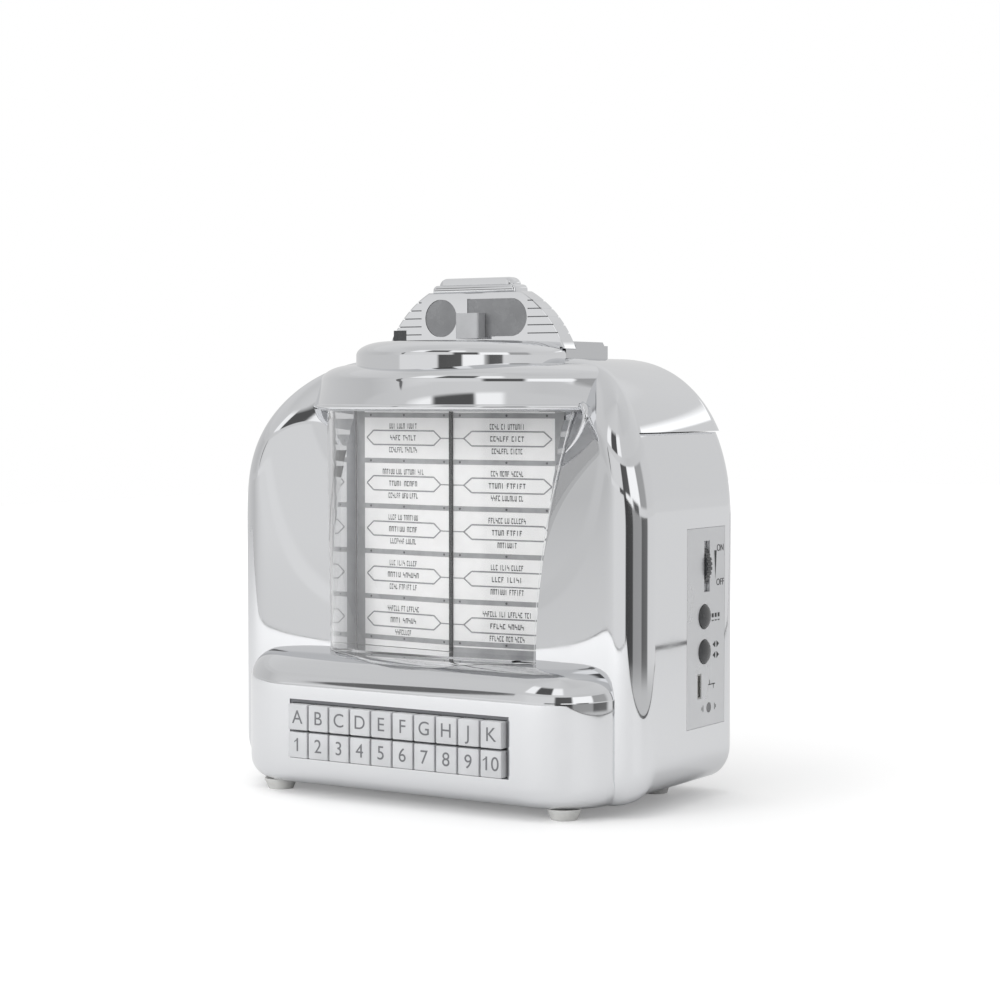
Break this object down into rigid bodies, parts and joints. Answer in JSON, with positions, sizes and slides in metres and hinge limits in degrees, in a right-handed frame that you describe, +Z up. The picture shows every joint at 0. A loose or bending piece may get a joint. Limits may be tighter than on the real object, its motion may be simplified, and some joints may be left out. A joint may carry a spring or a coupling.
{
  "type": "jukebox radio",
  "caption": "Chrome table radio in the form of a diner wall-box jukebox, with a curved window over title pages, a block of push keys, a coin head, and volume, mode and scan controls",
  "frame": {"origin": "on the table at the middle of the cabinet's bounding box, at the height of the feet", "axes": "+X to the side with the controls, +Y to the back, +Z up; the keys face -Y"},
  "size_m": [0.1524, 0.0888, 0.1651],
  "materials": {
    "chrome_plate": "bright plated moulding",
    "grey_moulding": "satin light grey",
    "key_moulding": "fine satin light grey",
    "black_moulding": "matt black",
    "silicone_pad": "matt",
    "circuit_board": "solder mask over glass laminate",
    "screw_steel": "plain zinc",
    "dark_insert": "gloss dark grey",
    "clear_window": "clear polished plastic",
    "title_card": "printed card",
    "panel_silver": "satin silver",
    "dark_control": "semi gloss dark grey",
    "socket_steel": "nickel plated",
    "lens_clear": "clear moulded",
    "cone_paper": "pressed paper",
    "cell_sleeve": "shrink sleeve",
    "foot_rubber": "soft grey"
  },
  "bodies": {
    "cabinet": {"front_shell": "chrome_plate", "rear_shell": "chrome_plate", "back_panel": "grey_moulding", "console_housing": "chrome_plate", "key_carrier": "black_moulding", "key_pad": "silicone_pad", "key_board": "circuit_board", "key_screws": "screw_steel", "visor": "chrome_plate", "coin_shelf": "chrome_plate", "head_housing": "chrome_plate", "coin_head": "chrome_plate", "head_cap": "chrome_plate", "coin_disc": "dark_insert", "price_plate": "dark_insert", "slot_block": "grey_moulding", "return_pane": "dark_insert", "window_glass": "clear_window", "page_bay": "chrome_plate", "page_left": "title_card", "page_right": "title_card", "page_spine": "dark_insert", "control_panel": "panel_silver", "volume_pot": "circuit_board", "tact_switches": "black_moulding", "side_board": "circuit_board", "usb_socket": "socket_steel", "indicator_lens": "lens_clear", "main_board": "circuit_board", "speaker_frame": "black_moulding", "speaker_cone": "cone_paper", "speaker_magnet": "screw_steel", "battery_cell": "cell_sleeve", "battery_cradle": "black_moulding", "case_screws": "screw_steel", "feet": "foot_rubber"},
    "key_a": {"key_a": "key_moulding"},
    "key_b": {"key_b": "key_moulding"},
    "key_c": {"key_c": "key_moulding"},
    "key_d": {"key_d": "key_moulding"},
    "key_e": {"key_e": "key_moulding"},
    "key_f": {"key_f": "key_moulding"},
    "key_g": {"key_g": "key_moulding"},
    "key_h": {"key_h": "key_moulding"},
    "key_j": {"key_j": "key_moulding"},
    "key_k": {"key_k": "key_moulding"},
    "key_1": {"key_1": "key_moulding"},
    "key_2": {"key_2": "key_moulding"},
    "key_3": {"key_3": "key_moulding"},
    "key_4": {"key_4": "key_moulding"},
    "key_5": {"key_5": "key_moulding"},
    "key_6": {"key_6": "key_moulding"},
    "key_7": {"key_7": "key_moulding"},
    "key_8": {"key_8": "key_moulding"},
    "key_9": {"key_9": "key_moulding"},
    "key_10": {"key_10": "key_moulding"},
    "volume_wheel": {"volume_wheel": "dark_control"},
    "mode_button": {"mode_button": "dark_control"},
    "scan_button": {"scan_button": "dark_control"}
  },
  "joints": [
    {"name": "press_a", "type": "slide", "parent": "cabinet", "child": "key_a", "axis": [0, 1, 0], "range_m": [0, 0.0015], "stiffness_N_per_m": 250},
    {"name": "press_b", "type": "slide", "parent": "cabinet", "child": "key_b", "axis": [0, 1, 0], "range_m": [0, 0.0015], "stiffness_N_per_m": 250},
    {"name": "press_c", "type": "slide", "parent": "cabinet", "child": "key_c", "axis": [0, 1, 0], "range_m": [0, 0.0015], "stiffness_N_per_m": 250},
    {"name": "press_d", "type": "slide", "parent": "cabinet", "child": "key_d", "axis": [0, 1, 0], "range_m": [0, 0.0015], "stiffness_N_per_m": 250},
    {"name": "press_e", "type": "slide", "parent": "cabinet", "child": "key_e", "axis": [0, 1, 0], "range_m": [0, 0.0015], "stiffness_N_per_m": 250},
    {"name": "press_f", "type": "slide", "parent": "cabinet", "child": "key_f", "axis": [0, 1, 0], "range_m": [0, 0.0015], "stiffness_N_per_m": 250},
    {"name": "press_g", "type": "slide", "parent": "cabinet", "child": "key_g", "axis": [0, 1, 0], "range_m": [0, 0.0015], "stiffness_N_per_m": 250},
    {"name": "press_h", "type": "slide", "parent": "cabinet", "child": "key_h", "axis": [0, 1, 0], "range_m": [0, 0.0015], "stiffness_N_per_m": 250},
    {"name": "press_j", "type": "slide", "parent": "cabinet", "child": "key_j", "axis": [0, 1, 0], "range_m": [0, 0.0015], "stiffness_N_per_m": 250},
    {"name": "press_k", "type": "slide", "parent": "cabinet", "child": "key_k", "axis": [0, 1, 0], "range_m": [0, 0.0015], "stiffness_N_per_m": 250},
    {"name": "press_1", "type": "slide", "parent": "cabinet", "child": "key_1", "axis": [0, 1, 0], "range_m": [0, 0.0015], "stiffness_N_per_m": 250},
    {"name": "press_2", "type": "slide", "parent": "cabinet", "child": "key_2", "axis": [0, 1, 0], "range_m": [0, 0.0015], "stiffness_N_per_m": 250},
    {"name": "press_3", "type": "slide", "parent": "cabinet", "child": "key_3", "axis": [0, 1, 0], "range_m": [0, 0.0015], "stiffness_N_per_m": 250},
    {"name": "press_4", "type": "slide", "parent": "cabinet", "child": "key_4", "axis": [0, 1, 0], "range_m": [0, 0.0015], "stiffness_N_per_m": 250},
    {"name": "press_5", "type": "slide", "parent": "cabinet", "child": "key_5", "axis": [0, 1, 0], "range_m": [0, 0.0015], "stiffness_N_per_m": 250},
    {"name": "press_6", "type": "slide", "parent": "cabinet", "child": "key_6", "axis": [0, 1, 0], "range_m": [0, 0.0015], "stiffness_N_per_m": 250},
    {"name": "press_7", "type": "slide", "parent": "cabinet", "child": "key_7", "axis": [0, 1, 0], "range_m": [0, 0.0015], "stiffness_N_per_m": 250},
    {"name": "press_8", "type": "slide", "parent": "cabinet", "child": "key_8", "axis": [0, 1, 0], "range_m": [0, 0.0015], "stiffness_N_per_m": 250},
    {"name": "press_9", "type": "slide", "parent": "cabinet", "child": "key_9", "axis": [0, 1, 0], "range_m": [0, 0.0015], "stiffness_N_per_m": 250},
    {"name": "press_10", "type": "slide", "parent": "cabinet", "child": "key_10", "axis": [0, 1, 0], "range_m": [0, 0.0015], "stiffness_N_per_m": 250},
    {"name": "turn_volume", "type": "hinge", "parent": "cabinet", "child": "volume_wheel", "pos_m": [0.06715, 0.0206, 0.0739], "axis": [0, 1, 0], "range_deg": [0, 270]},
    {"name": "press_mode", "type": "slide", "parent": "cabinet", "child": "mode_button", "axis": [-1, 0, 0], "range_m": [0, 0.0006], "stiffness_N_per_m": 500},
    {"name": "press_scan", "type": "slide", "parent": "cabinet", "child": "scan_button", "axis": [-1, 0, 0], "range_m": [0, 0.0006], "stiffness_N_per_m": 500}
  ]
}
